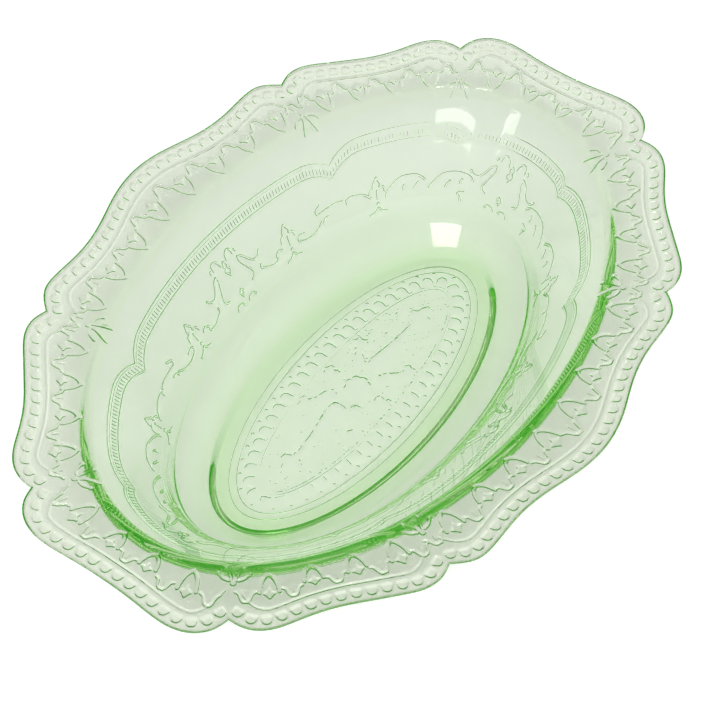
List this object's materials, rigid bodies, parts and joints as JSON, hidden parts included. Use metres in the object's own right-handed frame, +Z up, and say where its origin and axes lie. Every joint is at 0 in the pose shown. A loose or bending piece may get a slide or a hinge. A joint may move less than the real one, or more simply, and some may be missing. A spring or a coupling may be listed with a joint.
{
  "type": "oval serving dish",
  "caption": "Deep oval serving dish of pale green pressed glass with a lobed brim, moulded relief and a low oval foot.",
  "frame": {"origin": "middle of the footprint, on the surface the dish stands on", "axes": "+X along the long way of the dish, +Y across it, +Z up out of the bowl"},
  "size_m": [0.254, 0.189, 0.052],
  "materials": {
    "green_glass": "clear pale green pressed glass, smooth and fire-polished, with a stippled ground on the base panel"
  },
  "bodies": {
    "root": {"glass_dish": "green_glass"}
  },
  "joints": []
}
